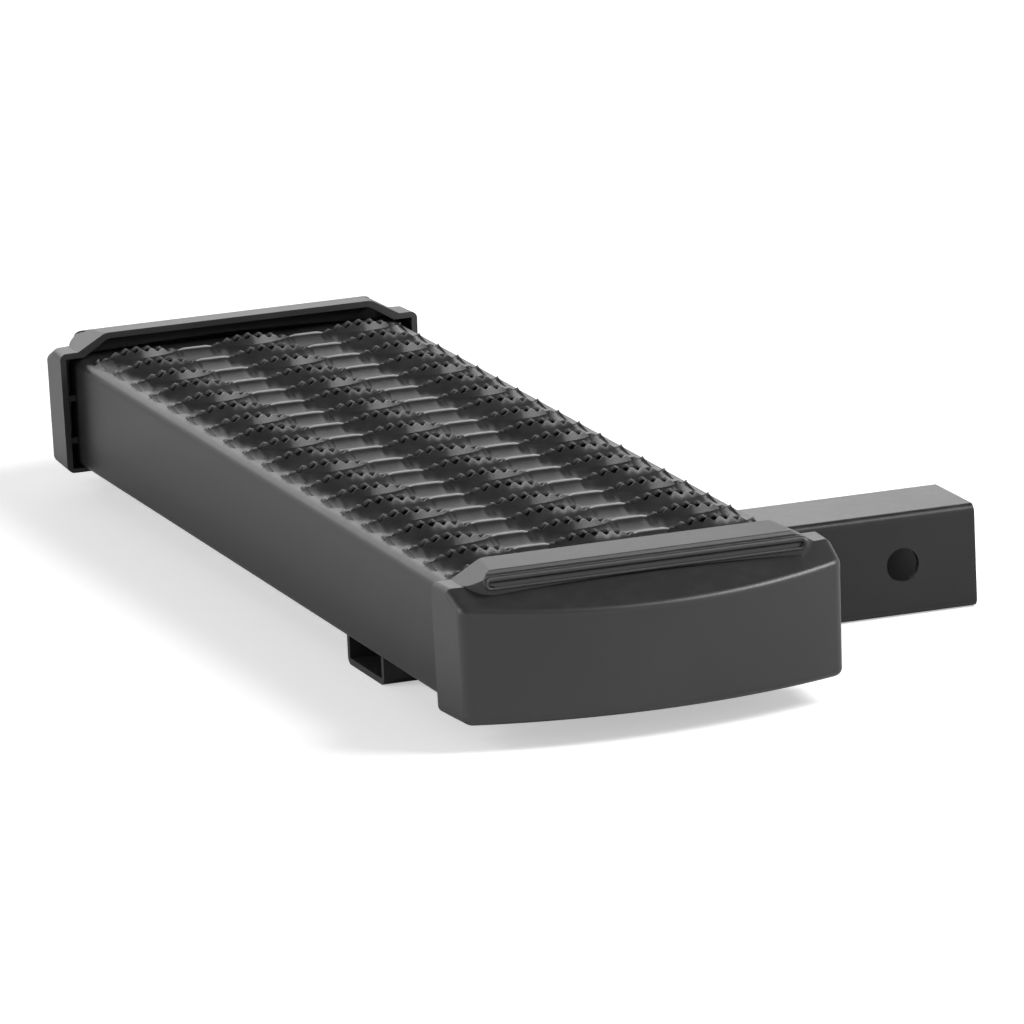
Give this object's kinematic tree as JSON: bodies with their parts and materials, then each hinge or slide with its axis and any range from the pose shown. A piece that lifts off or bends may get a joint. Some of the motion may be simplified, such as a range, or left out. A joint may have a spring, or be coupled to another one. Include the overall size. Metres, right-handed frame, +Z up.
{
  "type": "hitch receiver step",
  "caption": "Long serrated black steel step plank with moulded end caps, carried across a square hollow shank that slides into a tow hitch receiver and is held by a cross pin.",
  "frame": {"origin": "middle of the hitch pin hole, on the shank's axis", "axes": "+X along the shank, out of the step and into the receiver; +Y along the step and along the pin hole; +Z up"},
  "size_m": [0.3162, 0.6468, 0.0835],
  "materials": {
    "powder_coated_steel": "satin",
    "black_plastic": "satin",
    "zinc_plated_steel": "satin"
  },
  "bodies": {
    "root": {"tread_plank": "powder_coated_steel", "hitch_shank": "powder_coated_steel", "near_end_cap": "black_plastic", "far_end_cap": "black_plastic", "near_mounting_angle": "powder_coated_steel", "far_mounting_angle": "powder_coated_steel", "near_upper_weld": "powder_coated_steel", "near_lower_weld": "powder_coated_steel", "far_upper_weld": "powder_coated_steel", "far_lower_weld": "powder_coated_steel", "near_mounting_bolts": "zinc_plated_steel", "far_mounting_bolts": "zinc_plated_steel", "near_bolt_washers": "zinc_plated_steel", "far_bolt_washers": "zinc_plated_steel", "near_nut_washers": "zinc_plated_steel", "far_nut_washers": "zinc_plated_steel", "near_lock_nuts": "zinc_plated_steel", "far_lock_nuts": "zinc_plated_steel", "near_cap_screws": "zinc_plated_steel", "far_cap_screws": "zinc_plated_steel"}
  },
  "joints": []
}
